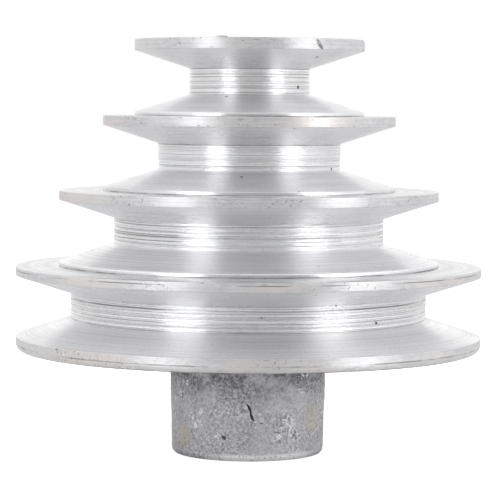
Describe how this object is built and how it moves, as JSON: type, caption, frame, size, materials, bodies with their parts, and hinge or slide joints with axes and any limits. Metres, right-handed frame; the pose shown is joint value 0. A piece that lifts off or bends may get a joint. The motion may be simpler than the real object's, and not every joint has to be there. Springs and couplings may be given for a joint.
{
  "type": "v belt pulley",
  "caption": "Stepped cast aluminium V-belt pulley: belt grooves of falling diameter above a long keyed hub, clamped to its shaft by socket set screws.",
  "frame": {"origin": "centre of the hub's end face, on the bore axis; the pulley stands on this face", "axes": "+Z along the bore axis from the hub towards the smallest step; the keyway lies halfway between +X and +Y"},
  "size_m": [0.15, 0.15, 0.1332],
  "materials": {
    "cast_aluminium": "bright turned grooves and rims, rough-cast hub and hollow",
    "key_steel": "bright drawn key steel",
    "black_steel": "black-oxided alloy steel"
  },
  "bodies": {
    "pulley": {"pulley_casting": "cast_aluminium"},
    "key": {"shaft_key": "key_steel"},
    "key_screw": {"set_screw_over_key": "black_steel"},
    "shaft_screw": {"set_screw_on_shaft": "black_steel"}
  },
  "joints": [
    {"name": "key_slide", "type": "slide", "parent": "pulley", "child": "key", "axis": [0, 0, 1], "range_m": [-0.042, 0.05]},
    {"name": "key_screw_travel", "type": "slide", "parent": "pulley", "child": "key_screw", "axis": [0.7071, 0.7071, 0], "range_m": [-0.00125, 0.0115]},
    {"name": "shaft_screw_travel", "type": "slide", "parent": "pulley", "child": "shaft_screw", "axis": [-0.7071, 0.7071, 0], "range_m": [-0.00125, 0.0145]}
  ]
}
